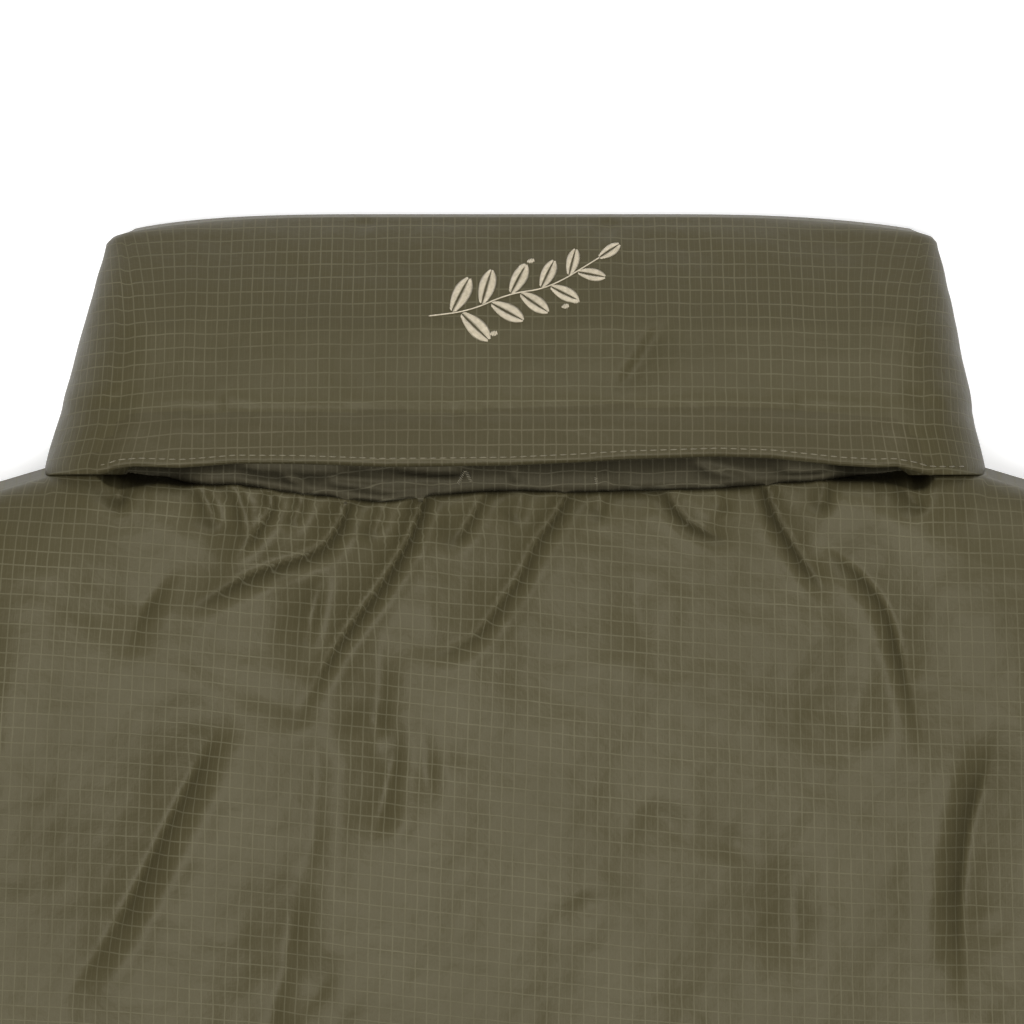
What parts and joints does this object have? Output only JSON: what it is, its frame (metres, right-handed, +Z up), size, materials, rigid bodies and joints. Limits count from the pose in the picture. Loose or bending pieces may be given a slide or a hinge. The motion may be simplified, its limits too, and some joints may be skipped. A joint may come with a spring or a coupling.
{
  "type": "down jacket",
  "caption": "Padded ripstop jacket laid flat with its back up, with a tall stand collar over an open hood pocket.",
  "frame": {"origin": "on the surface it lies on, under the middle of its outline", "axes": "+X to the wearer's right, +Y from the hem to the collar, +Z up out of its back"},
  "size_m": [1.2638, 0.76, 0.0568],
  "materials": {
    "shell": "satin",
    "facing": "matte",
    "tape": "matte",
    "zip_metal": "satin"
  },
  "bodies": {
    "root": {"back_panel": "shell", "front_left": "shell", "front_right": "shell", "sleeve_left": "shell", "sleeve_right": "shell", "collar": "shell", "hood_pocket_facing": "facing", "zip_tape_left": "tape", "zip_tape_right": "tape", "zip_slider": "zip_metal", "zip_box": "zip_metal"},
    "pull": {"zip_pull": "zip_metal"}
  },
  "joints": [
    {"name": "pull_swing", "type": "hinge", "parent": "root", "child": "pull", "pos_m": [0, 0.319, 0.0019], "axis": [1, 0, 0], "range_deg": [0, 170]}
  ]
}
